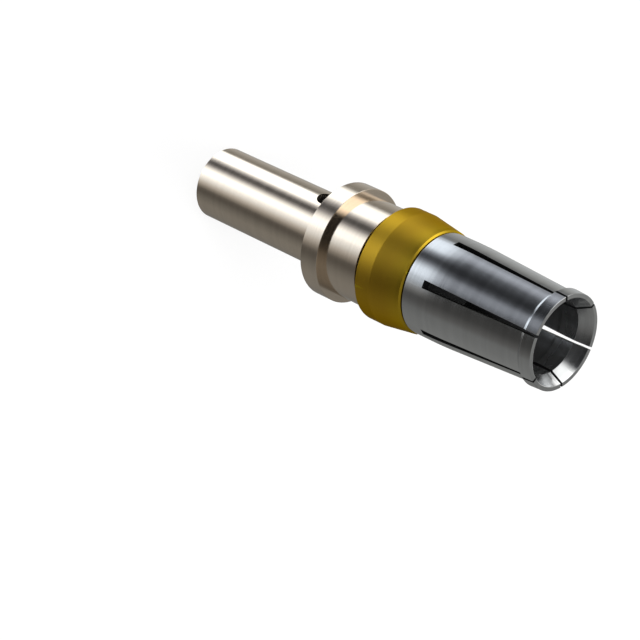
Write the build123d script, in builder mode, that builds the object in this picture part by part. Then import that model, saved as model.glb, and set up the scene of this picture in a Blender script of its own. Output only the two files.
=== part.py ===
from build123d import *
from math import atan2, cos, degrees, pi, radians, sin, tan
import os

# Crimped socket contact with six sprung tines and a split retention ring, in millimetres.
# It stands on its crimp end: Z runs up the contact from that end face to the mouth,
# and the inspection hole faces +Y, in line with one of the slots.

os.makedirs("parts", exist_ok=True)

# Mating pin
pin_d = 6.0

# Crimp body
well_d = 4.05
barrel_wall = 1.025
barrel_length = 14.1
drill_point = 118
well_web = 0.93
well_lead_in = 0.32
well_lead_in_depth = 0.54
inspection_d = 1.74
inspection_setback = 1.74
inspection_angle = 90
flange_step = 0.62
flange_thickness = 1.75
neck_wall = 1.18
neck_length = 3.6
edge_break = 0.06

# Socket sleeve
bore_play = 0.41
tube_wall = 0.8
sleeve_length = 12.68
floor_thickness = 0.8
shoulder_height = 0.56
shoulder_chamfer = 0.1
seat_length = 1.5
seat_step = 0.65
tail_grip = 3.8
tail_end_gap = 0.2
tail_chamfer = 0.3
press_gap = 0.02

# Tines
slot_count = 6
slot_setback = 1.75
mouth_gap = 0.15
tine_set = 0.47
bend_length = 2.4
pin_grip = 0.06
contact_land = 1.6
contact_ramp = 0.35
lip_height = 0.24
lip_slope = 0.3
lip_land = 1.02
rim_width = 0.36
lead_in_depth = 1.07

# Retention ring
ring_wall = 0.6
ring_seat_gap = 0.07
ring_front_gap = 0.05
ring_rear_gap = 0.57
ring_length = 4.35
ring_band_length = 1.46
ring_flare = 0.425
ring_opening = 60

# Radii that follow from the sizes above
bore_r = pin_d / 2 + bore_play
tube_r = bore_r + tube_wall
mouth_r = tube_r - tine_set
lip_r = mouth_r + lip_height
contact_r = pin_d / 2 - pin_grip
seat_r = tube_r - shoulder_height
tail_r = seat_r - seat_step
neck_bore_r = tail_r + press_gap
neck_r = neck_bore_r + neck_wall
flange_r = neck_r + flange_step
barrel_r = well_d / 2 + barrel_wall
ring_front_r = seat_r + ring_seat_gap
ring_rear_r = ring_front_r + ring_flare

# Heights up the contact
flange_rear_z = barrel_length
inspection_z = flange_rear_z - inspection_setback
neck_rear_z = flange_rear_z + flange_thickness
neck_front_z = neck_rear_z + neck_length
ring_rear_z = neck_front_z + ring_rear_gap
ring_front_z = ring_rear_z + ring_length
shoulder_z = ring_front_z + ring_front_gap
seat_rear_z = shoulder_z - seat_length
tail_end_z = neck_front_z - tail_grip
tail_bore_z = tail_end_z - tail_end_gap
well_tip_z = tail_bore_z - well_web
bore_floor_z = shoulder_z + floor_thickness
slot_root_z = shoulder_z + slot_setback
rim_z = shoulder_z + sleeve_length
lead_in_z = rim_z - lead_in_depth
land_rear_z = lead_in_z - contact_land
lip_front_z = rim_z - lip_land
lip_rear_z = lip_front_z - lip_slope


def drill_depth(radius):
    """Height of the cone that a twist drill leaves at the bottom of a hole."""
    return radius / tan(radians(drill_point / 2))


def radial_plane(angle):
    """Plane through the Z axis whose X points outwards at this angle and whose Y points up."""
    a = radians(angle)
    return Plane(origin=(0, 0, 0), x_dir=(cos(a), sin(a), 0), z_dir=(sin(a), -cos(a), 0))


def outward_plane(angle):
    """Plane through the Z axis that faces outwards at this angle, with its Y pointing up."""
    a = radians(angle)
    return Plane(origin=(0, 0, 0), x_dir=(-sin(a), cos(a), 0), z_dir=(cos(a), sin(a), 0))


def rims(part, *places, near=0.001):
    """Circular edges of the part at the given pairs of radius and height."""
    circles = part.edges().filter_by(GeomType.CIRCLE)
    return [
        edge
        for radius, height in places
        for edge in circles
        if abs(edge.radius - radius) < near and abs(edge.arc_center.Z - height) < near
    ]


# Crimp body: a turned barrel with its wire well, the flange, and a neck bored for the sleeve
with BuildPart() as crimp_body:
    with BuildSketch(Plane.XZ):
        with BuildLine():
            Polyline(
                (well_d / 2 + well_lead_in, 0),
                (barrel_r, 0),
                (barrel_r, flange_rear_z),
                (flange_r, flange_rear_z),
                (flange_r, neck_rear_z),
                (neck_r, neck_rear_z),
                (neck_r, neck_front_z),
                (neck_bore_r, neck_front_z),
                (neck_bore_r, tail_bore_z),
                (0, tail_bore_z),
                (0, well_tip_z),
                (well_d / 2, well_tip_z - drill_depth(well_d / 2)),
                (well_d / 2, well_lead_in_depth),
                close=True,
            )
        make_face()
    revolve(axis=Axis.Z)
    with BuildSketch(outward_plane(inspection_angle)):
        with Locations((0, inspection_z)):
            Circle(inspection_d / 2)
    extrude(amount=flange_r, mode=Mode.SUBTRACT)
    chamfer(
        rims(
            crimp_body,
            (barrel_r, 0),
            (flange_r, flange_rear_z),
            (flange_r, neck_rear_z),
            (neck_r, neck_front_z),
        ),
        length=edge_break,
    )
crimp_body.part.label = "crimp_body"
export_step(crimp_body.part, "parts/crimp_body.step")

# Tines: the slotted tube is bent inwards over the bend and runs straight to the lip.
# The slots are sawn parallel and close towards the mouth as the tines come in,
# and the lip, turned straight before the bending, leans in by the same angle.
bend_half = bend_length / 2
bend_angle = degrees(atan2(tine_set, lip_rear_z - slot_root_z - bend_half))
bend_r = bend_half / tan(radians(bend_angle / 2))
slot_width = mouth_gap + 2 * pi * tine_set / slot_count
rim_r = lip_r - lip_land * tan(radians(bend_angle))

# Socket sleeve: tail, ring seat, tube, tines with a raised contact land, lip and lead-in
with BuildPart() as socket_sleeve:
    with BuildSketch(Plane.XZ):
        with BuildLine():
            outer_bend = JernArc((tube_r, slot_root_z), (0, 1), bend_r, bend_angle)
            inner_bend = JernArc((bore_r, slot_root_z), (0, 1), bend_r - tube_wall, bend_angle)
            ramp_rear_z = land_rear_z - contact_ramp
            ramp_rise = ramp_rear_z - (inner_bend @ 1).Y
            ramp_r = (inner_bend @ 1).X - ramp_rise * tan(radians(bend_angle))
            Polyline(
                outer_bend @ 1,
                (mouth_r, lip_rear_z),
                (lip_r, lip_front_z),
                (rim_r, rim_z),
                (rim_r - rim_width, rim_z),
                (contact_r, lead_in_z),
                (contact_r, land_rear_z),
                (ramp_r, ramp_rear_z),
                inner_bend @ 1,
            )
            Polyline(
                inner_bend @ 0,
                (bore_r, bore_floor_z),
                (0, bore_floor_z - drill_depth(bore_r)),
                (0, tail_end_z),
                (tail_r - tail_chamfer, tail_end_z),
                (tail_r, tail_end_z + tail_chamfer),
                (tail_r, seat_rear_z),
                (seat_r, seat_rear_z),
                (seat_r, shoulder_z),
                (tube_r - shoulder_chamfer, shoulder_z),
                (tube_r, shoulder_z + shoulder_chamfer),
                outer_bend @ 0,
            )
        make_face()
    revolve(axis=Axis.Z)
    slot_angles = [inspection_angle + 360 / slot_count * i for i in range(slot_count)]
    with BuildSketch(*[outward_plane(angle) for angle in slot_angles]):
        with BuildLine():
            right_side = Polyline(
                (0, slot_root_z),
                (slot_width / 2, slot_root_z),
                (slot_width / 2, slot_root_z + bend_half),
                (mouth_gap / 2, lip_rear_z),
                (mouth_gap / 2, rim_z + lip_land),
                (0, rim_z + lip_land),
            )
            mirror(right_side, about=Plane.YZ)
        make_face()
    extrude(amount=tube_r + lip_height, mode=Mode.SUBTRACT)
socket_sleeve.part.label = "socket_sleeve"
export_step(socket_sleeve.part, "parts/socket_sleeve.step")

# Retention ring: a split spring ring whose narrow end sits on the seat in front of the shoulder
# and whose wide end stands clear of the tail, with its opening across from the inspection hole
with BuildPart() as retention_ring:
    with BuildSketch(radial_plane(inspection_angle + 180 + ring_opening / 2)):
        with BuildLine():
            Polyline(
                (ring_rear_r, ring_rear_z),
                (ring_rear_r + ring_wall, ring_rear_z),
                (ring_rear_r + ring_wall, ring_rear_z + ring_band_length),
                (ring_front_r + ring_wall, ring_front_z),
                (ring_front_r, ring_front_z),
                (ring_rear_r, ring_rear_z + ring_band_length),
                close=True,
            )
        make_face()
    revolve(axis=Axis.Z, revolution_arc=360 - ring_opening)
retention_ring.part.label = "retention_ring"
export_step(retention_ring.part, "parts/retention_ring.step")
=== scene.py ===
import bpy
from math import asin, atan2, cos, degrees, hypot, pi, radians, sin, tan
from mathutils import Matrix, Vector


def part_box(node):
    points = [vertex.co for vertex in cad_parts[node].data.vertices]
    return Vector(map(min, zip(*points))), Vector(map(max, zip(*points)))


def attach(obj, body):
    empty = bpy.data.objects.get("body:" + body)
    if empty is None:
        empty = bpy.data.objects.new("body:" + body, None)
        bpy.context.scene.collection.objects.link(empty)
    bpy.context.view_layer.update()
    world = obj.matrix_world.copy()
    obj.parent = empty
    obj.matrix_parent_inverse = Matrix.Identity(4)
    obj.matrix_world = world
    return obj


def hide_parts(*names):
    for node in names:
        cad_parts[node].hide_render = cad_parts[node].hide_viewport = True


# Socket contact: crimp body, slotted socket sleeve and split retention ring

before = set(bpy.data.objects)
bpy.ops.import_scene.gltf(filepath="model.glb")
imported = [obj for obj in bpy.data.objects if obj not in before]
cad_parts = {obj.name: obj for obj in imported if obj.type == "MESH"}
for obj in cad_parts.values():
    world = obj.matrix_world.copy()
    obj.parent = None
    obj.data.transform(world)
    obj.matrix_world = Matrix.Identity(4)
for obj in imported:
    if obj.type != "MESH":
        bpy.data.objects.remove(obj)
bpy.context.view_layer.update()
print("frame loaded:", ", ".join(sorted(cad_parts)))

mm = 0.001
scene = bpy.context.scene
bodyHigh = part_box("crimp_body")[1]
sleeveLow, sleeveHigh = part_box("socket_sleeve")
ringLow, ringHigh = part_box("retention_ring")
mergeDistance = 0.0005 * mm


# Modelling helpers, used by all three pieces

def deselectAll():
    if bpy.context.object and bpy.context.object.mode == "EDIT":
        bpy.ops.object.mode_set(mode="OBJECT")
    bpy.ops.object.select_all(action="DESELECT")


def activate(piece):
    deselectAll()
    piece.select_set(True)
    bpy.context.view_layer.objects.active = piece


def clearPicks(mesh):
    for group in (mesh.vertices, mesh.edges, mesh.polygons):
        group.foreach_set("select", [False] * len(group))


def pick(piece, keepVert=None, keepEdge=None, keepFace=None):
    # leaves edit mode, selects by place or normal, and goes back in with the fitting select mode
    bpy.ops.object.mode_set(mode="OBJECT")
    bpy.context.tool_settings.mesh_select_mode = (
        keepVert is not None, keepEdge is not None, keepFace is not None)
    mesh = piece.data
    clearPicks(mesh)
    if keepVert:
        for vert in mesh.vertices:
            vert.select = keepVert(vert.co)
    elif keepEdge:
        for edge in mesh.edges:
            a, b = (mesh.vertices[i].co for i in edge.vertices)
            edge.select = keepEdge(a, b)
    else:
        for face in mesh.polygons:
            face.select = keepFace(face)
    bpy.ops.object.mode_set(mode="EDIT")


def turnRings(name, rings, columns):
    # lathe work: a circle is extruded from ring to ring along the turned profile
    radius, height = rings[0]
    deselectAll()
    bpy.ops.mesh.primitive_circle_add(vertices=columns, radius=radius, location=(0, 0, height))
    piece = bpy.context.object
    piece.name = name
    piece.data.name = name
    bpy.ops.object.transform_apply(location=True, rotation=True, scale=True)
    bpy.ops.object.mode_set(mode="EDIT")
    bpy.ops.mesh.select_mode(type="EDGE")
    bpy.ops.mesh.select_all(action="SELECT")
    for nextRadius, nextHeight in rings[1:]:
        bpy.ops.mesh.extrude_edges_move(
            TRANSFORM_OT_translate={"value": (0, 0, nextHeight - height)})
        if nextRadius == 0:
            bpy.ops.mesh.merge(type="CENTER")
        elif nextRadius != radius:
            ratio = nextRadius / radius
            bpy.ops.transform.resize(value=(ratio, ratio, 1), center_override=(0, 0, nextHeight))
        radius, height = nextRadius, nextHeight
    radius, height = rings[0]
    near = 0.1 * radius / columns  # far less than the space between two columns
    pick(piece, keepVert=lambda co: abs(co.z - height) < near
         and abs(hypot(co.x, co.y) - radius) < near)
    bpy.ops.mesh.edge_face_add()  # the flat that closes the first ring
    return piece


def applyModifier(piece, kind, **settings):
    activate(piece)
    modifier = piece.modifiers.new(kind.lower(), kind)
    for key, value in settings.items():
        setattr(modifier, key, value)
    bpy.ops.object.modifier_apply(modifier=modifier.name)


def tidyNormals(piece):
    activate(piece)
    bpy.ops.object.mode_set(mode="EDIT")
    bpy.ops.mesh.select_all(action="SELECT")
    bpy.ops.mesh.remove_doubles(threshold=mergeDistance)
    bpy.ops.mesh.normals_make_consistent(inside=False)
    bpy.ops.object.mode_set(mode="OBJECT")


def breakEdges(piece, width, segments, keep=None, overAngle=6):
    # only edges that stand out are broken, as a file would, and inner corners stay sharp
    mesh = piece.data
    facesOf = {}
    for face in mesh.polygons:
        for key in face.edge_keys:
            facesOf.setdefault(key, []).append(face)

    def standsOut(edge):
        one, two = facesOf[edge.key]
        if one.normal.angle(two.normal) < radians(overAngle):
            return False
        return (two.center - one.center).dot(one.normal) < 0

    standing = [edge for edge in mesh.edges if standsOut(edge)]
    chosen = {edge.key for edge in standing
              if keep is None or keep(*(mesh.vertices[i].co for i in edge.key))}
    activate(piece)
    bpy.context.tool_settings.mesh_select_mode = (False, True, False)
    clearPicks(mesh)
    for edge in mesh.edges:
        edge.select = edge.key in chosen
    bpy.ops.object.mode_set(mode="EDIT")
    bpy.ops.mesh.bevel(offset=width, offset_type="OFFSET", segments=segments, affect="EDGES",
                       clamp_overlap=True)
    bpy.ops.object.mode_set(mode="OBJECT")


def rescale(piece, factor):
    piece.scale = (factor, factor, factor)
    bpy.ops.object.transform_apply(location=False, rotation=False, scale=True)


def smoothShade(piece, sharpAngle=35):
    activate(piece)
    bpy.ops.object.shade_smooth_by_angle(angle=radians(sharpAngle))
    # in metres these faces are too small for the modifier to tell their areas apart
    rescale(piece, 1 / mm)
    applyModifier(piece, "WEIGHTED_NORMAL", keep_sharp=True, weight=100, thresh=0.001)
    rescale(piece, mm)


# Shader helpers

def addNode(tree, kind, inputs=None, **settings):
    node = tree.nodes.new(kind)
    for key, value in settings.items():
        setattr(node, key, value)
    for socket, value in (inputs or {}).items():
        if isinstance(value, bpy.types.NodeSocket):
            tree.links.new(value, node.inputs[socket])
        else:
            node.inputs[socket].default_value = value
    return node


def newGroup(name, inputs, outputs):
    group = bpy.data.node_groups.new(name, "ShaderNodeTree")
    for socketName, kind, default in inputs:
        socket = group.interface.new_socket(name=socketName, in_out="INPUT", socket_type=kind)
        if default is not None:
            socket.default_value = default
    for socketName, kind in outputs:
        group.interface.new_socket(name=socketName, in_out="OUTPUT", socket_type=kind)
    return group, group.nodes.new("NodeGroupInput"), group.nodes.new("NodeGroupOutput")


def mathIn(tree):
    # a short way to chain Math nodes in one tree
    def math(operation, *values):
        return addNode(tree, "ShaderNodeMath", dict(enumerate(values)),
                       operation=operation).outputs[0]
    return math


def aroundAxis(tree, place):
    # the X, Y and Z of a place, and how far it is from the turned axis
    split = addNode(tree, "ShaderNodeSeparateXYZ", {0: place}).outputs
    flat = addNode(tree, "ShaderNodeCombineXYZ", {"X": split["X"], "Y": split["Y"]})
    radius = addNode(tree, "ShaderNodeVectorMath", {0: flat.outputs[0]}, operation="LENGTH")
    return split, radius.outputs["Value"]


def makeTurningMarks():
    # fine rings left by the lathe, by height plus radius so that they ring flats and walls alike,
    # and an even grain under them
    group, start, end = newGroup(
        "turningMarks",
        [("Vector", "NodeSocketVector", None), ("Pitch", "NodeSocketFloat", 0.0002),
         ("Drift", "NodeSocketFloat", 250.0), ("Grain", "NodeSocketFloat", 10000.0),
         ("Grain Share", "NodeSocketFloat", 0.1)],
        [("Height", "NodeSocketFloat"), ("Streak", "NodeSocketFloat")])
    take = start.outputs
    math = mathIn(group)
    split, radius = aroundAxis(group, take["Vector"])
    turns = math("DIVIDE", math("ADD", split["Z"], radius), take["Pitch"])
    rings = addNode(group, "ShaderNodeTexNoise", {
        "W": turns, "Scale": 1.0, "Detail": 2.0, "Roughness": 0.6}, noise_dimensions="1D")
    slow = addNode(group, "ShaderNodeTexNoise", {
        "W": turns, "Scale": 0.35, "Detail": 2.0}, noise_dimensions="1D")
    around = addNode(group, "ShaderNodeTexNoise", {
        "Vector": take["Vector"], "Scale": take["Drift"], "Detail": 1.0})
    grain = addNode(group, "ShaderNodeTexNoise", {
        "Vector": take["Vector"], "Scale": take["Grain"], "Detail": 1.0})
    faded = math("MULTIPLY", rings.outputs[0], around.outputs[0])
    height = math("MULTIPLY_ADD", grain.outputs[0], take["Grain Share"], faded)
    streak = addNode(group, "ShaderNodeMapRange", {
        "Value": slow.outputs[0], "From Min": 0.35, "From Max": 0.65, "To Min": -1.0,
        "To Max": 1.0})
    group.links.new(height, end.inputs["Height"])
    group.links.new(streak.outputs[0], end.inputs["Streak"])
    return group


def makeRecessShadeMask():
    # painted shade mask: one down in the bores and on the sawn sides of the slots, zero on the
    # outside; it darkens the metal where shade falls in these recesses
    group, start, end = newGroup(
        "recessShadeMask",
        [("Vector", "NodeSocketVector", None), ("Radius", "NodeSocketFloat", 0.0),
         ("Lean Start", "NodeSocketFloat", 1.0), ("Lean", "NodeSocketFloat", 0.0),
         ("Bottom", "NodeSocketFloat", 0.0), ("Top", "NodeSocketFloat", 1.0),
         ("Depth", "NodeSocketFloat", 0.0005), ("Slot Pitch", "NodeSocketFloat", 1.0),
         ("Root Half", "NodeSocketFloat", -1.0), ("Mouth Half", "NodeSocketFloat", -1.0),
         ("Mouth", "NodeSocketFloat", 1.0), ("Edge", "NodeSocketFloat", 0.00001),
         ("Deep Share", "NodeSocketFloat", 0.85), ("Bore Share", "NodeSocketFloat", 0.85),
         ("Fade", "NodeSocketFloat", 0.003), ("Root", "NodeSocketFloat", 0.0),
         ("Slot Share", "NodeSocketFloat", 0.9)],
        [("Mask", "NodeSocketFloat")])
    take = start.outputs
    math = mathIn(group)
    split, radius = aroundAxis(group, take["Vector"])
    height = split["Z"]
    rise = math("MAXIMUM", math("SUBTRACT", height, take["Lean Start"]), 0.0)
    outside = math("SUBTRACT", take["Radius"], math("MULTIPLY", rise, take["Lean"]))
    depth = addNode(group, "ShaderNodeMapRange", {
        "Value": math("SUBTRACT", outside, radius), "From Min": take["Edge"],
        "From Max": take["Depth"]}, interpolation_type="SMOOTHSTEP").outputs[0]
    within = math("MULTIPLY", math("GREATER_THAN", height, take["Bottom"]),
                  math("LESS_THAN", height, take["Top"]))
    # distance from the middle plane of the nearest slot, the first of which faces +Y
    angle = math("ARCTAN2", split["X"], split["Y"])
    nearest = math("SNAP", math("ADD", angle, math("MULTIPLY", take["Slot Pitch"], 0.5)),
                   take["Slot Pitch"])
    turned = math("SUBTRACT", angle, nearest)
    aside = math("MULTIPLY", radius, math("ABSOLUTE", math("SINE", turned)))
    half = addNode(group, "ShaderNodeMapRange", {
        "Value": height, "From Min": take["Root"], "From Max": take["Mouth"],
        "To Min": take["Root Half"], "To Max": take["Mouth Half"]}).outputs[0]
    slotSide = math("LESS_THAN", aside, math("ADD", half, take["Edge"]))
    share = addNode(group, "ShaderNodeMapRange", {
        "Value": height, "From Min": math("SUBTRACT", take["Top"], take["Fade"]),
        "From Max": take["Top"], "To Min": take["Deep Share"],
        "To Max": take["Bore Share"]}).outputs[0]
    bore = math("MULTIPLY", math("MULTIPLY", depth, within), share)
    slots = math("MULTIPLY", math("MULTIPLY", slotSide, take["Slot Share"]),
                 math("GREATER_THAN", height, take["Root"]))
    group.links.new(math("MAXIMUM", bore, slots), end.inputs["Mask"])
    return group


def makePlatingTone():
    # slow changes in the plating's thickness and haze, lathe streaks, brighter metal on the
    # edges, partly rubbed wear and partly a painted highlight, and painted shade in the bores and
    # slots
    group, start, end = newGroup(
        "platingTone",
        [("Vector", "NodeSocketVector", None), ("Plate", "NodeSocketColor", (0.8, 0.8, 0.8, 1)),
         ("Edge Wear And Highlight", "NodeSocketColor", (0.9, 0.9, 0.9, 1)),
         ("Patch", "NodeSocketFloat", 300.0), ("Shade", "NodeSocketFloat", 0.06),
         ("Roughness", "NodeSocketFloat", 0.2), ("Haze", "NodeSocketFloat", 0.05),
         ("Streak", "NodeSocketFloat", 0.0), ("Streak Share", "NodeSocketFloat", 0.02),
         ("Deep", "NodeSocketFloat", 0.0), ("Deep Shade", "NodeSocketFloat", 0.8),
         ("Deep Haze", "NodeSocketFloat", 0.15), ("Edge Wear And Highlight Share", "NodeSocketFloat", 0.6)],
        [("Color", "NodeSocketColor"), ("Roughness", "NodeSocketFloat")])
    streakRough = 0.5         # how far a streak of the lathe changes the roughness
    burnishShare = 0.8        # rubbed edges are smoother by this much
    take = start.outputs
    math = mathIn(group)
    cloud = addNode(group, "ShaderNodeTexNoise", {
        "Vector": take["Vector"], "Scale": take["Patch"], "Detail": 4.0, "Roughness": 0.6})
    soft = addNode(group, "ShaderNodeMapRange", {
        "Value": cloud.outputs[0], "From Min": 0.3, "From Max": 0.7, "To Min": -1.0,
        "To Max": 1.0}).outputs[0]
    streaks = math("MULTIPLY", take["Streak"], take["Streak Share"])
    light = math("ADD", math("MULTIPLY_ADD", soft, take["Shade"], 1.0), streaks)
    # painted shade: the colour is darkened by the deep mask, down to near black in the slots
    recessShade = math("MULTIPLY_ADD", math("MULTIPLY", take["Deep"], take["Deep Shade"]), -1.0, 1.0)
    shaded = addNode(group, "ShaderNodeVectorMath", {
        0: take["Plate"], "Scale": math("MULTIPLY", light, recessShade)}, operation="SCALE")
    geometry = addNode(group, "ShaderNodeNewGeometry")
    # brighter edges by pointiness: partly rubbed wear, partly a painted highlight on the thin
    # chamfers
    edge = addNode(group, "ShaderNodeMapRange", {
        "Value": geometry.outputs["Pointiness"], "From Min": 0.53, "From Max": 0.62,
        "To Max": take["Edge Wear And Highlight Share"]}).outputs[0]
    color = addNode(group, "ShaderNodeMix", {
        0: math("MULTIPLY", edge, recessShade), 6: shaded.outputs[0], 7: take["Edge Wear And Highlight"]},
        data_type="RGBA")
    rough = math("ADD", take["Roughness"], math("MULTIPLY", soft, take["Haze"]))
    rough = math("ADD", rough, math("MULTIPLY", streaks, streakRough))
    rough = math("MULTIPLY_ADD", take["Deep"], take["Deep Haze"], rough)
    rough = math("MULTIPLY", rough, math("MULTIPLY_ADD", edge, -burnishShare, 1.0))
    group.links.new(color.outputs[2], end.inputs["Color"])
    group.links.new(rough, end.inputs["Roughness"])
    return group


turningMarks = makeTurningMarks()
recessShadeMask = makeRecessShadeMask()
platingTone = makePlatingTone()


def platedMetal(name, values, deep):
    material = bpy.data.materials.new(name)
    material.use_nodes = True
    tree = material.node_tree
    tree.nodes.clear()
    place = addNode(tree, "ShaderNodeTexCoord").outputs["Object"]
    marks = addNode(tree, "ShaderNodeGroup", {
        "Vector": place, "Pitch": values["markPitch"], "Drift": 1 / values["markDrift"],
        "Grain": 1 / values["grainSize"], "Grain Share": values["grainShare"]},
        node_tree=turningMarks)
    inside = addNode(tree, "ShaderNodeGroup", {"Vector": place, **deep}, node_tree=recessShadeMask)
    tone = addNode(tree, "ShaderNodeGroup", {
        "Vector": place, "Plate": (*values["plate"], 1), "Edge Wear And Highlight": (*values["edgeWearAndHighlight"], 1),
        "Patch": 1 / values["patchSize"], "Shade": values["shade"],
        "Roughness": values["roughness"], "Haze": values["haze"],
        "Streak": marks.outputs["Streak"], "Streak Share": values["streakShare"],
        "Deep": inside.outputs["Mask"], "Deep Shade": values["deepShade"],
        "Deep Haze": values["deepHaze"], "Edge Wear And Highlight Share": values["edgeWearAndHighlightShare"]}, node_tree=platingTone)
    bump = addNode(tree, "ShaderNodeBump", {
        "Strength": 1.0, "Distance": values["markDepth"], "Height": marks.outputs["Height"]})
    metallic = 1.0
    # where the painted shade lies the metal also turns partly matte, so the bores read grey
    if values["deepMatte"]:
        metallic = mathIn(tree)("MULTIPLY_ADD", inside.outputs["Mask"], -values["deepMatte"], 1.0)
    shader = addNode(tree, "ShaderNodeBsdfPrincipled", {
        "Base Color": tone.outputs["Color"], "Roughness": tone.outputs["Roughness"],
        "Normal": bump.outputs[0], "Metallic": metallic,
        "Specular Tint": (*values["rimTint"], 1)})
    end = addNode(tree, "ShaderNodeOutputMaterial")
    tree.links.new(shader.outputs[0], end.inputs["Surface"])
    return material


def finish(piece, material, node):
    piece.data.materials.clear()
    piece.data.materials.append(material)
    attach(piece, "root")
    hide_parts(node)
    print(piece.name, "finished:", len(piece.data.polygons), "faces")


# Crimp body: barrel with its wire well, flange and neck

crimpBody = {
    "columns": 192,
    "wellRadius": 2.025 * mm,
    "wellTip": 14.52 * mm,
    "drillPoint": 118,
    "leadIn": 0.32 * mm,
    "leadInDepth": 0.54 * mm,
    "barrelRadius": 3.05 * mm,
    "barrelLength": 14.1 * mm,
    "flangeThickness": 1.75 * mm,
    "neckRadius": 4.2 * mm,
    "neckBore": 3.02 * mm,
    "neckBoreDepth": 4.0 * mm,
    "inspectionRadius": 0.87 * mm,
    "inspectionHeight": 12.36 * mm,
    "inspectionColumns": 64,
    "edgeBreak": 0.035 * mm,
    "edgeSteps": 3,
}


def drillDepth(radius, point):
    return radius / tan(radians(point / 2))


def makeCrimpBody(v):
    flangeRadius, neckFront = bodyHigh.x, bodyHigh.z
    flangeFront = v["barrelLength"] + v["flangeThickness"]
    wellShoulder = v["wellTip"] - drillDepth(v["wellRadius"], v["drillPoint"])
    piece = turnRings("crimpBody", [
        (v["neckBore"], neckFront - v["neckBoreDepth"]),
        (v["neckBore"], neckFront),
        (v["neckRadius"], neckFront),
        (v["neckRadius"], flangeFront),
        (flangeRadius, flangeFront),
        (flangeRadius, v["barrelLength"]),
        (v["barrelRadius"], v["barrelLength"]),
        (v["barrelRadius"], 0),
        (v["wellRadius"] + v["leadIn"], 0),
        (v["wellRadius"], v["leadInDepth"]),
        (v["wellRadius"], wellShoulder),
        (0, v["wellTip"]),
    ], v["columns"])
    tidyNormals(piece)
    breakEdges(piece, v["edgeBreak"], v["edgeSteps"])
    deselectAll()
    bpy.ops.mesh.primitive_cylinder_add(
        vertices=v["inspectionColumns"], radius=v["inspectionRadius"], depth=flangeRadius,
        location=(0, flangeRadius / 2, v["inspectionHeight"]), rotation=(pi / 2, 0, 0))
    drill = bpy.context.object
    applyModifier(piece, "BOOLEAN", operation="DIFFERENCE", object=drill, solver="EXACT")
    bpy.data.objects.remove(drill)
    smoothShade(piece)
    return piece


# Socket sleeve: tail, ring seat, tube and six tines that close in to the lip

socketSleeve = {
    "slots": 6,
    "tineColumns": 32,
    "slotColumns": 4,
    "tailRadius": 3.0 * mm,
    "tailChamfer": 0.3 * mm,
    "seatRadius": 3.65 * mm,
    "seatRear": 22.92 * mm,
    "shoulder": 24.42 * mm,
    "shoulderChamfer": 0.1 * mm,
    "wall": 0.8 * mm,
    "boreFloor": 25.22 * mm,
    "drillPoint": 118,
    "slotRoot": 26.17 * mm,
    "slotRootWidth": 0.64 * mm,
    "slotRimWidth": 0.2 * mm,
    "tineSet": 0.47 * mm,
    "bendLength": 2.4 * mm,
    "bendSteps": 8,
    "lipHeight": 0.24 * mm,
    "lipSlope": 0.3 * mm,
    "lipLand": 1.02 * mm,
    "rimWidth": 0.36 * mm,
    "leadInDepth": 1.07 * mm,
    "contactRadius": 2.94 * mm,
    "contactLand": 1.6 * mm,
    "contactRamp": 0.35 * mm,
    "edgeBreak": 0.03 * mm,
    "edgeSteps": 3,
}


def radiusAt(line, height):
    # radius on a profile line, given as (radius, height) points with rising heights
    for (r0, z0), (r1, z1) in zip(line, line[1:]):
        if height <= z1 or (r1, z1) == line[-1]:
            return r0 + (r1 - r0) * (height - z0) / (z1 - z0)


def bendLine(startRadius, bendRadius, root, bend, steps):
    return [(startRadius - bendRadius * (1 - cos(bend * i / steps)),
             root + bendRadius * sin(bend * i / steps)) for i in range(steps + 1)]


def tineLines(v):
    # heights and angle of the tines that both the mesh and the material need
    tube, rim = sleeveHigh.x, sleeveHigh.z
    lipFront = rim - v["lipLand"]
    lipRear = lipFront - v["lipSlope"]
    halfBend = v["bendLength"] / 2
    bend = atan2(v["tineSet"], lipRear - v["slotRoot"] - halfBend)
    return tube, rim, lipFront, lipRear, halfBend, bend


# where the sleeve gets painted shade: deep in the bore, less so near the rim, and in the slots
sleeveRecessShade = {
    "depth": 0.4 * mm,        # below the outside, for all of it
    "edge": 0.01 * mm,
    "rootMargin": 0.02 * mm,
    "rimShare": 0.12,
    "fade": 10 * mm,          # back from the rim
    "slotShare": 0.97,
}


def sleeveDepths(v, recessShade):
    tube, rim, lipFront, lipRear, halfBend, bend = tineLines(v)
    return {"Radius": tube, "Lean Start": v["slotRoot"] + halfBend, "Lean": tan(bend),
            "Bottom": sleeveLow.z, "Top": rim, "Depth": recessShade["depth"], "Edge": recessShade["edge"],
            "Slot Pitch": 2 * pi / v["slots"], "Root Half": v["slotRootWidth"] / 2,
            "Mouth Half": v["slotRimWidth"] / 2, "Mouth": rim,
            "Root": v["slotRoot"] - recessShade["rootMargin"], "Bore Share": recessShade["rimShare"],
            "Fade": recessShade["fade"], "Slot Share": recessShade["slotShare"]}


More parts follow.
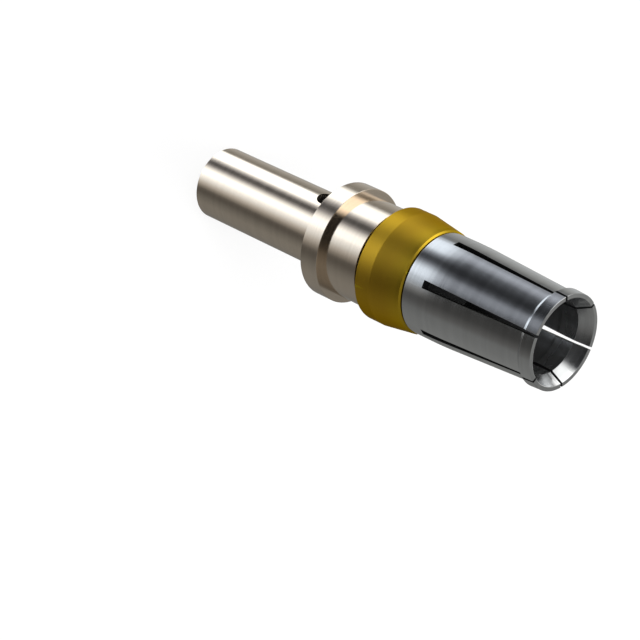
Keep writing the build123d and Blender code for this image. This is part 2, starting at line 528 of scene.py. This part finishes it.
def makeSocketSleeve(v):
    tube, rim, lipFront, lipRear, halfBend, bend = tineLines(v)
    root = v["slotRoot"]
    tiny = 0.002 * mm         # how far apart two places may be and still count as one
    slack = 0.001             # the same for bearings in degrees
    widestSine = 0.11         # of half a slot, where the columns crowd near the axis
    leadIn = rim - v["leadInDepth"]
    landRear = leadIn - v["contactLand"]
    rampRear = landRear - v["contactRamp"]
    mouthRadius = tube - v["tineSet"]
    lipRadius = mouthRadius + v["lipHeight"]
    rimRadius = lipRadius - v["lipLand"] * tan(bend)
    bore = tube - v["wall"]
    bendRadius = halfBend / tan(bend / 2)
    outer = bendLine(tube, bendRadius, root, bend, v["bendSteps"]) + [
        (mouthRadius, lipRear), (lipRadius, lipFront), (rimRadius, rim)]
    inner = bendLine(bore, bendRadius - v["wall"], root, bend, v["bendSteps"])
    rampRadius = inner[-1][0] - (rampRear - inner[-1][1]) * tan(bend)
    inner += [(rampRadius, rampRear), (v["contactRadius"], landRear),
              (v["contactRadius"], leadIn), (rimRadius - v["rimWidth"], rim)]
    levels = sorted({point[1] for point in outer} | {rampRear, landRear, leadIn})
    tailEnd = sleeveLow.z
    rings = [
        (v["tailRadius"] - v["tailChamfer"], tailEnd),
        (v["tailRadius"], tailEnd + v["tailChamfer"]),
        (v["tailRadius"], v["seatRear"]),
        (v["seatRadius"], v["seatRear"]),
        (v["seatRadius"], v["shoulder"]),
        (tube - v["shoulderChamfer"], v["shoulder"]),
        (tube, v["shoulder"] + v["shoulderChamfer"]),
    ]
    rings += [(radiusAt(outer, z), z) for z in levels]
    rings += [(radiusAt(inner, z), z) for z in reversed(levels)]
    rings += [(bore, v["boreFloor"]), (0, v["boreFloor"] - drillDepth(bore, v["drillPoint"]))]
    perSlot = v["tineColumns"] + v["slotColumns"]
    piece = turnRings("socketSleeve", rings, v["slots"] * perSlot)
    bpy.ops.object.mode_set(mode="OBJECT")

    # the columns are fanned so that two of them run along the sides of every slot
    pitch = 360 / v["slots"]
    halfColumns = v["slotColumns"] / 2

    def slotHalfAngle(radius, height):
        closing = max(0, (height - root) / (rim - root))
        width = v["slotRootWidth"] + (v["slotRimWidth"] - v["slotRootWidth"]) * closing
        return degrees(asin(min(widestSine, width / 2 / radius)))

    def slotPhase(co):
        # bearing from the middle of the slot before it; the first slot faces +Y
        return (degrees(atan2(co.y, co.x)) - 90 + slack) % pitch - slack

    for vert in piece.data.vertices:
        radius = hypot(vert.co.x, vert.co.y)
        if radius < v["tailRadius"] / 2:
            continue
        phase = slotPhase(vert.co)
        column = round(phase / pitch * perSlot)
        half = slotHalfAngle(radius, vert.co.z)
        if column <= halfColumns:
            turned = half * column / halfColumns
        elif column >= perSlot - halfColumns:
            turned = pitch - half * (perSlot - column) / halfColumns
        else:
            turned = half + (pitch - 2 * half) * (column - halfColumns) / v["tineColumns"]
        angle = atan2(vert.co.y, vert.co.x) + radians(turned - phase)
        vert.co.x, vert.co.y = radius * cos(angle), radius * sin(angle)

    # the wall inside each slot is deleted and the slot's floor and sides are bridged
    def inSlot(face):
        phase = slotPhase(face.center)
        half = slotHalfAngle(hypot(face.center.x, face.center.y), face.center.z)
        return face.center.z > root + tiny / 2 and min(phase, pitch - phase) < half

    pick(piece, keepFace=inSlot)
    bpy.ops.mesh.delete(type="FACE")

    def atRadius(co, line):
        return abs(hypot(co.x, co.y) - radiusAt(line, co.z)) < tiny

    for slot in range(v["slots"]):
        centre = 90 + pitch * slot
        across = Vector((-sin(radians(centre)), cos(radians(centre)), 0))
        outward = Vector((cos(radians(centre)), sin(radians(centre)), 0))

        def floorEdge(a, b):
            return (abs(a.z - root) < tiny and abs(b.z - root) < tiny
                    and a.dot(outward) > 0 and b.dot(outward) > 0
                    and max(abs(a.dot(across)), abs(b.dot(across)))
                    < v["slotRootWidth"] / 2 + tiny
                    and (atRadius(a, outer) and atRadius(b, outer)
                         or atRadius(a, inner) and atRadius(b, inner)))

        pick(piece, keepEdge=floorEdge)
        bpy.ops.mesh.bridge_edge_loops()
        for side in (-1, 1):
            def sideEdge(a, b):
                for co in (a, b):
                    radius = hypot(co.x, co.y)
                    place = side * radius * sin(radians(slotHalfAngle(radius, co.z)))
                    if co.dot(outward) < 0 or co.z < root - tiny:
                        return False
                    if abs(co.dot(across) - place) > tiny:
                        return False
                return abs(a.z - b.z) > tiny and (
                    atRadius(a, outer) and atRadius(b, outer)
                    or atRadius(a, inner) and atRadius(b, inner))

            pick(piece, keepEdge=sideEdge)
            bpy.ops.mesh.bridge_edge_loops()
    tidyNormals(piece)
    breakEdges(piece, v["edgeBreak"], v["edgeSteps"], keep=lambda a, b: abs(a.z - b.z) < tiny
               and abs(hypot(a.x, a.y) - hypot(b.x, b.y)) < tiny)
    smoothShade(piece)
    return piece


# Retention ring: a split spring ring, its section drawn once and spun round the axis

retentionRing = {
    "wall": 0.6 * mm,
    "bandLength": 1.46 * mm,
    "flare": 0.425 * mm,
    "opening": 60,
    "steps": 180,
    "frontChamfer": 0.12 * mm,
    "edgeBreak": 0.04 * mm,
    "edgeSteps": 3,
}


def makeRetentionRing(v):
    rear, front, outerRadius = ringLow.z, ringHigh.z, ringHigh.y
    wall, band = v["wall"], v["bandLength"]
    near = 0.01 * mm
    deselectAll()
    bpy.ops.mesh.primitive_plane_add(
        size=1, location=(outerRadius - wall / 2, 0, rear + band / 2), rotation=(pi / 2, 0, 0))
    piece = bpy.context.object
    piece.name = "retentionRing"
    piece.data.name = "retentionRing"
    piece.scale = (wall, band, 1)
    bpy.ops.object.transform_apply(location=True, rotation=True, scale=True)
    bandFront = rear + band
    pick(piece, keepEdge=lambda a, b: min(a.z, b.z) > bandFront - near)
    bpy.ops.mesh.extrude_region_move(
        TRANSFORM_OT_translate={"value": (-v["flare"], 0, front - bandFront)})
    bpy.ops.mesh.select_all(action="SELECT")
    bpy.ops.transform.rotate(value=radians(v["opening"] / 2 + 90), orient_axis="Z",
                             center_override=(0, 0, 0))
    bpy.ops.mesh.spin(steps=v["steps"], angle=radians(360 - v["opening"]), center=(0, 0, 0),
                      axis=(0, 0, 1))
    bpy.ops.object.mode_set(mode="OBJECT")
    tidyNormals(piece)
    frontRadius = outerRadius - v["flare"]

    def frontOutside(a, b):
        return min(a.z, b.z) > front - near and min(
            hypot(a.x, a.y), hypot(b.x, b.y)) > frontRadius - near

    breakEdges(piece, v["edgeBreak"], v["edgeSteps"], keep=lambda a, b: not frontOutside(a, b))
    breakEdges(piece, v["frontChamfer"], 1, keep=frontOutside, overAngle=60)
    smoothShade(piece)
    return piece


nickelPlate = platedMetal("nickelPlate", {
    "plate": (0.80, 0.69, 0.57), "edgeWearAndHighlight": (0.8, 0.71, 0.6), "edgeWearAndHighlightShare": 0.6,
    "patchSize": 2.5 * mm, "shade": 0.02, "roughness": 0.15, "haze": 0.015, "markPitch": 0.25 * mm,
    "markDrift": 4 * mm, "markDepth": 0.002 * mm, "grainSize": 0.12 * mm, "grainShare": 0.05,
    "streakShare": 0.025, "deepShade": 1.0, "deepHaze": 0.2, "deepMatte": 0.25,
    "rimTint": (0.92, 0.91, 0.9),
}, {
    # painted shade in the wire well and the inspection hole
    "Radius": crimpBody["barrelRadius"], "Bottom": 0.7 * mm,
    "Top": crimpBody["barrelLength"], "Depth": 0.35 * mm, "Edge": 0.02 * mm,
    "Bore Share": 0.85})
silverPlate = platedMetal("silverPlate", {
    "plate": (0.62, 0.63, 0.64), "edgeWearAndHighlight": (0.75, 0.75, 0.75), "edgeWearAndHighlightShare": 0.6,
    "patchSize": 2 * mm, "shade": 0.02, "roughness": 0.14, "haze": 0.02, "markPitch": 0.22 * mm,
    "markDrift": 3 * mm, "markDepth": 0.002 * mm, "grainSize": 0.12 * mm, "grainShare": 0.05,
    "streakShare": 0.03, "deepShade": 1.0, "deepHaze": 0.5, "deepMatte": 0.2,
    "rimTint": (0.9, 0.9, 0.9),
}, sleeveDepths(socketSleeve, sleeveRecessShade))
goldPlate = platedMetal("goldPlate", {
    # the gold's bright edge colour paints the highlight line on the ring's front chamfer
    "plate": (0.68, 0.42, 0.037), "edgeWearAndHighlight": (1.0, 0.8, 0.03), "edgeWearAndHighlightShare": 0.95,
    "patchSize": 1.5 * mm, "shade": 0.02, "roughness": 0.43, "haze": 0.02, "markPitch": 0.3 * mm,
    "markDrift": 2 * mm, "markDepth": 0.003 * mm, "grainSize": 0.1 * mm, "grainShare": 0.6,
    "streakShare": 0.02, "deepShade": 0.0, "deepHaze": 0.0, "deepMatte": 0.0,
    "rimTint": (0.5, 0.42, 0.3),
}, {})

finish(makeCrimpBody(crimpBody), nickelPlate, "crimp_body")
finish(makeSocketSleeve(socketSleeve), silverPlate, "socket_sleeve")
finish(makeRetentionRing(retentionRing), goldPlate, "retention_ring")


# Studio: floor, a tent of light and dark bands for the metal to reflect, and lamps

studio = {
    "floorSize": 3.0,
    "floorTone": 0.9,
    "floorGlow": 0.75,        # share of the floor that shows plain white; the rest takes shadow
    "worldLevel": 0.55,       # of the world as a light; it shows as white
    "lamps": {
        "keyLamp": {"place": (-0.25, 0.25, 0.7), "size": 0.6, "power": 4.5},
        "fillLamp": {"place": (0.35, -0.3, 0.6), "size": 0.5, "power": 2.0},
    },
    "tentRadius": 1.5,
    "tentColumns": 96,
    "tentRows": 48,
    "tentPeak": 3.0,
    "bandStart": -130,
    # bearing in degrees from +Y towards -X, and brightness there
    "footBands": [
        (-130, 0.8), (-126, 1.2), (-114, 1.1), (-107, 0.2), (-60, 0.3), (-50, 1.2), (-42, 2.2),
        (-34, 2.7), (-14, 2.7), (-6, 1.1), (1, 0.2), (8, 0.2), (14, 1.6), (20, 2.9), (60, 2.9),
        (72, 1.6), (86, 0.4), (110, 0.1), (180, 0.15), (215, 0.3), (222, 0.5)],
    "lowBands": [
        (-130, 0.3), (-115, 0.42), (-94, 0.48), (-75, 0.35), (-64, 0.27), (-56, 0.27), (-50, 0.9),
        (-44, 1.9), (-14, 2.0), (-9, 1.2), (-3, 0.5), (6, 0.1), (14, 0.12), (21, 0.4), (32, 1.4),
        (38, 1.8), (50, 1.8), (56, 1.4), (67, 1.0), (77, 0.65), (87, 0.34), (97, 0.12),
        (107, 0.1), (127, 0.17), (147, 0.22), (177, 0.22), (200, 0.2), (215, 0.22)],
    "middleBands": [
        (-130, 0.36), (-120, 0.45), (-100, 0.6), (-80, 0.48), (-70, 0.37), (-60, 0.21),
        (-41, 0.35), (-31, 0.55), (-21, 0.38), (-11, 0.12), (-1, 0.07), (7, 0.04), (17, 0.03),
        (27, 0.08), (37, 0.3), (47, 0.3), (56, 0.17), (66, 0.09), (76, 0.05), (96, 0.07),
        (115, 0.14), (125, 0.2), (150, 0.23), (174, 0.26), (205, 0.22), (215, 0.22), (225, 0.3)],
    "highBands": [
        (-130, 0.2), (-110, 0.6), (-95, 1.0), (-80, 0.3), (-68, 0.22), (-60, 1.0), (-50, 1.9),
        (-10, 2.1), (-2, 1.3), (8, 0.06), (14, 0.02), (70, 0.02), (90, 0.06), (104, 0.15),
        (130, 0.22), (170, 0.2), (200, 0.14)],
    "zenith": 0.3,
    "nadirShare": 0.75,       # of the low bands
    # elevations in degrees over which one row of bands gives way to the next
    "nadirToFoot": (-77, -70),
    "footToLow": (-71, -63),
    "lowToMiddle": (-39.5, -29.5),
    "middleToHigh": (-12, 5),
    "highToZenith": (42, 60),
    # tint of the dim and of the bright stops, and the levels over which it changes
    "dimTint": (1.0, 1.0, 0.96),
    "brightTint": (1.0, 1.07, 1.14),
    "highTint": (1.0, 1.0, 0.98),
    "tintLevels": (0.45, 0.95),
    # tints of the dim stops between two bearings
    "sideTints": [(-48, 62, (1.0, 1.04, 1.14)), (70, 120, (1.0, 0.97, 0.92))],
}


def isShownRay(tree):
    # one for camera, glossy and transmission rays, zero for the rest
    math = mathIn(tree)
    light = addNode(tree, "ShaderNodeLightPath").outputs
    return math("MAXIMUM", math("MAXIMUM", light["Is Camera Ray"], light["Is Glossy Ray"]),
                light["Is Transmission Ray"])


def makeFloor(v):
    deselectAll()
    bpy.ops.mesh.primitive_plane_add(size=v["floorSize"], location=(0, 0, 0))
    floor = bpy.context.object
    floor.name = "floor"
    material = bpy.data.materials.new("floorWhite")
    material.use_nodes = True
    tree = material.node_tree
    tree.nodes.clear()
    paper = addNode(tree, "ShaderNodeBsdfDiffuse", {"Color": (*[v["floorTone"]] * 3, 1)})
    glow = addNode(tree, "ShaderNodeEmission", {"Color": (1, 1, 1, 1), "Strength": 1.0})
    share = mathIn(tree)("MULTIPLY", isShownRay(tree), v["floorGlow"])
    mix = addNode(tree, "ShaderNodeMixShader", {
        0: share, 1: paper.outputs[0], 2: glow.outputs[0]})
    end = addNode(tree, "ShaderNodeOutputMaterial")
    tree.links.new(mix.outputs[0], end.inputs["Surface"])
    floor.data.materials.append(material)
    floor.visible_glossy = False  # the metal reflects the tent down to its lowest bands


def makeBandGroup(v):
    # brightness of the tent by bearing, in rows of bands, with a plain top
    group, start, end = newGroup("studioBands", [("Vector", "NodeSocketVector", None)],
                                 [("Color", "NodeSocketColor")])
    math = mathIn(group)
    aim = addNode(group, "ShaderNodeVectorMath", {0: start.outputs["Vector"]},
                  operation="NORMALIZE")
    split = addNode(group, "ShaderNodeSeparateXYZ", {0: aim.outputs[0]}).outputs
    bearing = math("ARCTAN2", math("MULTIPLY", split["X"], -1.0), split["Y"])
    turn = math("FRACT", math("MULTIPLY_ADD", bearing, 1 / (2 * pi), -v["bandStart"] / 360))
    elevation = math("ARCSINE", split["Z"])

    def bandRow(bands, brightTint):
        ramp = addNode(group, "ShaderNodeValToRGB", {0: turn})
        stops = ramp.color_ramp.elements
        while len(stops) > 1:
            stops.remove(stops[-1])
        low, high = v["tintLevels"]
        for i, (degree, level) in enumerate(bands + [(v["bandStart"] + 360, bands[0][1])]):
            place = (degree - v["bandStart"]) / 360
            stop = stops[0] if i == 0 else stops.new(place)
            stop.position = place
            cool = min(1, max(0, (level - low) / (high - low)))
            dimTint = next((tint for first, last, tint in v["sideTints"]
                            if first < degree < last), v["dimTint"])
            stop.color = (*[level / v["tentPeak"] * (dim + (bright - dim) * cool)
                            for dim, bright in zip(dimTint, brightTint)], 1)
        return ramp.outputs[0]

    def blend(limits, below, above):
        lift = addNode(group, "ShaderNodeMapRange", {
            "Value": elevation, "From Min": radians(limits[0]),
            "From Max": radians(limits[1])}, interpolation_type="SMOOTHSTEP")
        return addNode(group, "ShaderNodeMix", {0: lift.outputs[0], 6: below, 7: above},
                       data_type="RGBA").outputs[2]

    lowRow = bandRow(v["lowBands"], v["brightTint"])
    nadirRow = addNode(group, "ShaderNodeVectorMath", {0: lowRow, "Scale": v["nadirShare"]},
                       operation="SCALE").outputs[0]
    color = blend(v["nadirToFoot"], nadirRow, bandRow(v["footBands"], v["brightTint"]))
    color = blend(v["footToLow"], color, lowRow)
    color = blend(v["lowToMiddle"], color, bandRow(v["middleBands"], v["brightTint"]))
    color = blend(v["middleToHigh"], color, bandRow(v["highBands"], v["highTint"]))
    color = blend(v["highToZenith"], color, (*[v["zenith"] / v["tentPeak"]] * 3, 1))
    bright = addNode(group, "ShaderNodeVectorMath", {0: color, "Scale": v["tentPeak"]},
                     operation="SCALE")
    group.links.new(bright.outputs[0], end.inputs["Color"])
    return group


def makeTent(v):
    # a wide sphere that only reflections see, so the bands run straight down the metal
    deselectAll()
    bpy.ops.mesh.primitive_uv_sphere_add(
        segments=v["tentColumns"], ring_count=v["tentRows"], radius=v["tentRadius"])
    tent = bpy.context.object
    tent.name = "tent"
    material = bpy.data.materials.new("tentBands")
    material.use_nodes = True
    tree = material.node_tree
    tree.nodes.clear()
    place = addNode(tree, "ShaderNodeTexCoord")
    bands = addNode(tree, "ShaderNodeGroup", {"Vector": place.outputs["Object"]},
                    node_tree=makeBandGroup(v))
    glow = addNode(tree, "ShaderNodeEmission", {
        "Color": bands.outputs["Color"], "Strength": 1.0})
    end = addNode(tree, "ShaderNodeOutputMaterial")
    tree.links.new(glow.outputs[0], end.inputs["Surface"])
    tent.data.materials.append(material)
    tent.visible_camera = False
    tent.visible_diffuse = False
    tent.visible_shadow = False
    tent.visible_transmission = False
    tent.visible_volume_scatter = False


def makeWorld(v):
    world = bpy.data.worlds.new("studioWorld")
    world.use_nodes = True
    tree = world.node_tree
    tree.nodes.clear()
    level = addNode(tree, "ShaderNodeMapRange", {
        "Value": isShownRay(tree), "To Min": v["worldLevel"], "To Max": 1.0})
    sky = addNode(tree, "ShaderNodeBackground", {
        "Color": (1, 1, 1, 1), "Strength": level.outputs[0]})
    end = addNode(tree, "ShaderNodeOutputWorld")
    tree.links.new(sky.outputs[0], end.inputs["Surface"])
    scene.world = world


def makeLamps(v):
    for name, values in v["lamps"].items():
        light = bpy.data.lights.new(name, "AREA")
        light.size = values["size"]
        light.energy = values["power"]
        lamp = bpy.data.objects.new(name, light)
        scene.collection.objects.link(lamp)
        lamp.location = values["place"]
        lamp.rotation_mode = "QUATERNION"
        lamp.rotation_quaternion = Vector(values["place"]).to_track_quat("Z", "Y")
        lamp.visible_glossy = False


makeFloor(studio)
makeTent(studio)
makeWorld(studio)
makeLamps(studio)
print("studio ready")


# Camera at the photograph's viewing angle, for a frame of 640 by 640 pixels

photoView = {
    "frame": 640,
    "focalPixels": 2309.3,
    "bearing": 50.4715,       # of the camera, from +Y towards -X
    "elevation": 37.5598,
    "roll": 116.7037,
    "crimpEndPixel": (223.15, 182.85),
    "crimpEndDepth": 194.197 * mm,
    "sensorWidth": 36,
    "clip": (0.01, 10),
}


def makeCamera(v):
    bearing, elevation, roll = (radians(v[k]) for k in ("bearing", "elevation", "roll"))
    forward = Vector((sin(bearing) * cos(elevation), -cos(bearing) * cos(elevation),
                      -sin(elevation)))
    level = forward.cross(Vector((0, 0, 1))).normalized()
    upright = level.cross(forward)
    right = level * cos(roll) + upright * sin(roll)
    up = right.cross(forward)
    depth, focal, middle = v["crimpEndDepth"], v["focalPixels"], v["frame"] / 2
    across = (v["crimpEndPixel"][0] - middle) * depth / focal
    down = (v["crimpEndPixel"][1] - middle) * depth / focal
    place = up * down - right * across - forward * depth
    lens = bpy.data.cameras.new("camera")
    lens.sensor_width = v["sensorWidth"]
    lens.lens = focal / v["frame"] * lens.sensor_width
    lens.clip_start, lens.clip_end = v["clip"]
    camera = bpy.data.objects.new("camera", lens)
    scene.collection.objects.link(camera)
    camera.matrix_world = Matrix.Translation(place) @ Matrix(
        (right, up, -forward)).transposed().to_4x4()
    scene.camera = camera


makeCamera(photoView)
scene.view_settings.view_transform = "Standard"
print("camera placed")
